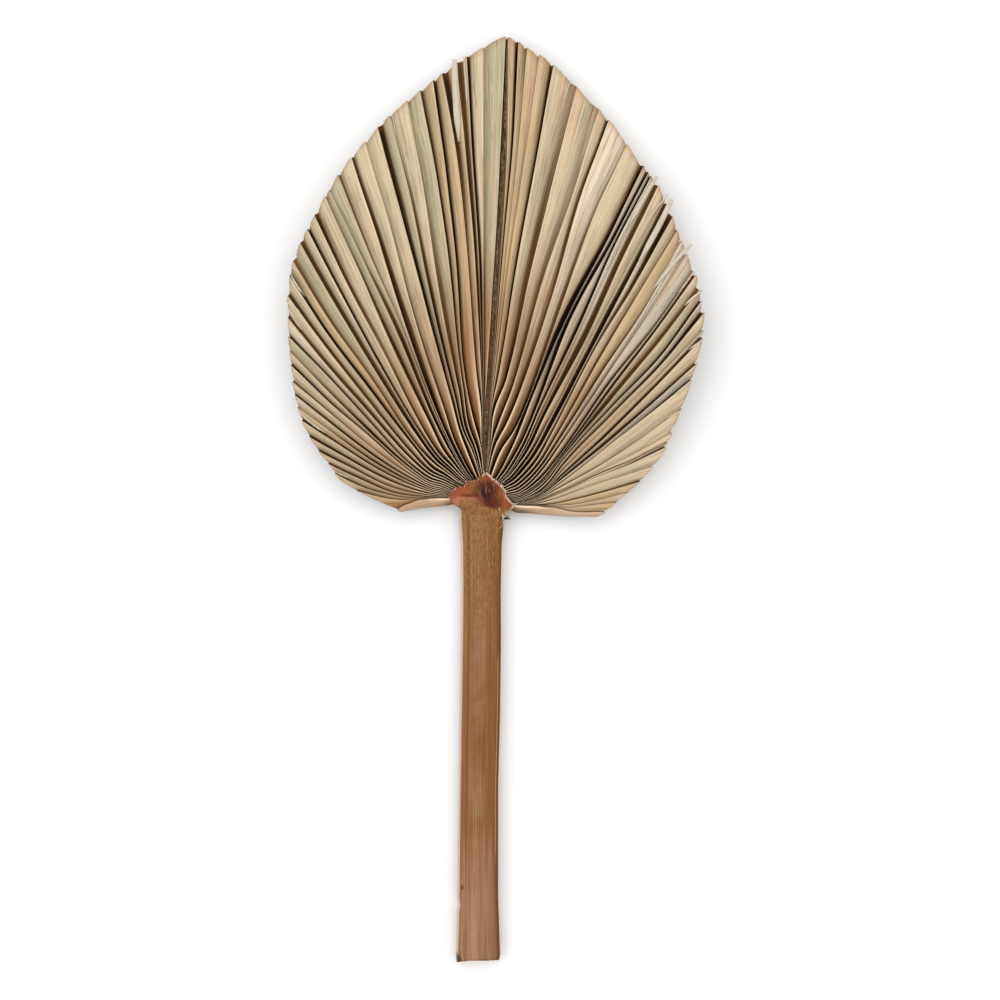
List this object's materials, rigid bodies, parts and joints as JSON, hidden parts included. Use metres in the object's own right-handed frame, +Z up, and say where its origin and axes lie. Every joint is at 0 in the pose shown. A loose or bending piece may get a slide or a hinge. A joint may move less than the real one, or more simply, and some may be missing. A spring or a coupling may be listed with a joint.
{
  "type": "dried palm fan",
  "caption": "Dried fan-palm leaf: a pleated heart-shaped blade with a trimmed jagged edge, on a flat brown stalk.",
  "frame": {"origin": "middle of the leaf's box, on the surface that it lies on", "axes": "+Y from the cut end of the stalk to the tip of the blade, +Z up out of the leaf's upper face, +X to the right as seen from above"},
  "size_m": [0.2494, 0.5556, 0.0334],
  "materials": {
    "stalk": "dry brown leaf stalk with fine lengthwise fibres, matt with a slight sheen",
    "hastula": "dry red-brown crest with a dark middle and a pale torn rim, matt",
    "blade": "dry straw-coloured leaf with fine veins along the pleats, matt"
  },
  "bodies": {
    "root": {"stalk": "stalk", "hastula": "hastula", "blade": "blade"}
  },
  "joints": []
}
